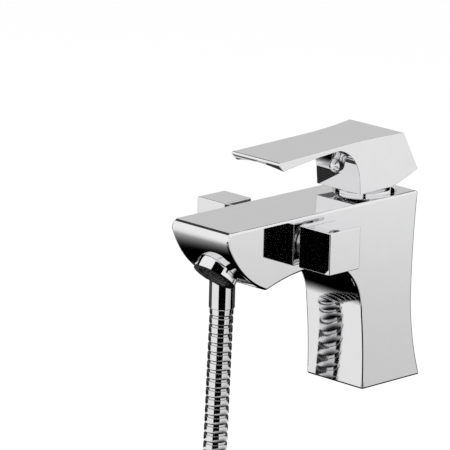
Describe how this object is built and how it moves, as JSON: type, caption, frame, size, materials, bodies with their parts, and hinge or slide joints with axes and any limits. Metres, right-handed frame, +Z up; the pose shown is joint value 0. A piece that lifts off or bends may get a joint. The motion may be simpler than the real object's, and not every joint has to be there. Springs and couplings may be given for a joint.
{
  "type": "deck-mounted bath mixer",
  "caption": "Deck-mounted bath mixer with flat-sided column and spout, top lever, side diverter knob and a metal shower hose tied in a coil.",
  "frame": {"origin": "centre of the column's foot, on the deck", "axes": "+Z up, the spout reaches towards -Y, +X is the side of the diverter knob"},
  "size_m": [0.1926, 0.1626, 0.4665],
  "materials": {
    "chrome": "polished",
    "brass": "machined",
    "rubber": "matt",
    "ceramic": "lapped ceramic",
    "white_plastic": "moulded",
    "grey_plastic": "moulded",
    "steel": "stainless",
    "tie": "moulded"
  },
  "bodies": {
    "base": {"body": "chrome", "foot_seal": "rubber", "cartridge_seal": "rubber", "cartridge_shell": "white_plastic", "fixed_disc": "ceramic", "cartridge_nut": "brass", "dome_ring": "chrome", "aerator_housing": "chrome", "aerator_insert": "grey_plastic", "aerator_washer": "rubber", "diverter_sleeve": "chrome", "outlet_neck": "chrome", "outlet_elbow": "chrome", "outlet_tail": "brass", "check_cage": "white_plastic", "check_spring": "steel", "hose_nut": "chrome", "hose_washer": "rubber", "hose_sleeve": "chrome", "hose_drop": "steel", "hose_bend": "steel", "hose_coil": "steel", "hose_tail": "steel", "end_sleeve": "chrome", "cone_nut": "chrome", "end_washer": "rubber", "coil_tie_upper": "tie", "coil_tie_lower": "tie"},
    "rotor": {"stem_rotor": "grey_plastic", "pivot_pin": "steel"},
    "lever": {"lever_handle": "chrome", "lever_stem": "brass", "lever_screw": "steel", "screw_plug": "chrome"},
    "slider": {"disc_slider": "grey_plastic", "moving_disc": "ceramic"},
    "diverter": {"diverter_knob": "chrome", "diverter_spindle": "brass", "spindle_ring": "rubber", "knob_screw": "steel"},
    "poppet": {"check_poppet": "white_plastic"}
  },
  "joints": [
    {"name": "lever_swivel", "type": "hinge", "parent": "base", "child": "rotor", "pos_m": [0, -0.004, 0.1], "axis": [0, 0, 1], "range_deg": [-45, 45]},
    {"name": "lever_lift", "type": "hinge", "parent": "rotor", "child": "lever", "pos_m": [0, -0.004, 0.1], "axis": [-1, 0, 0], "range_deg": [0, 18]},
    {"name": "disc_slide", "type": "slide", "parent": "rotor", "child": "slider", "axis": [0, -1, 0], "range_m": [0, 0.0032]},
    {"name": "diverter_turn", "type": "hinge", "parent": "base", "child": "diverter", "pos_m": [0.037, -0.0706, 0.0964], "axis": [1, 0, 0], "range_deg": [0, 90]},
    {"name": "check_open", "type": "slide", "parent": "base", "child": "poppet", "axis": [0, 0, -1], "range_m": [0, 0.0024], "stiffness_N_per_m": 150, "springref_m": -0.002, "deforming": ["check_spring"]}
  ],
  "couplings": [
    {"joint": "disc_slide", "follows": "lever_lift", "m_per_rad": 0.01}
  ]
}
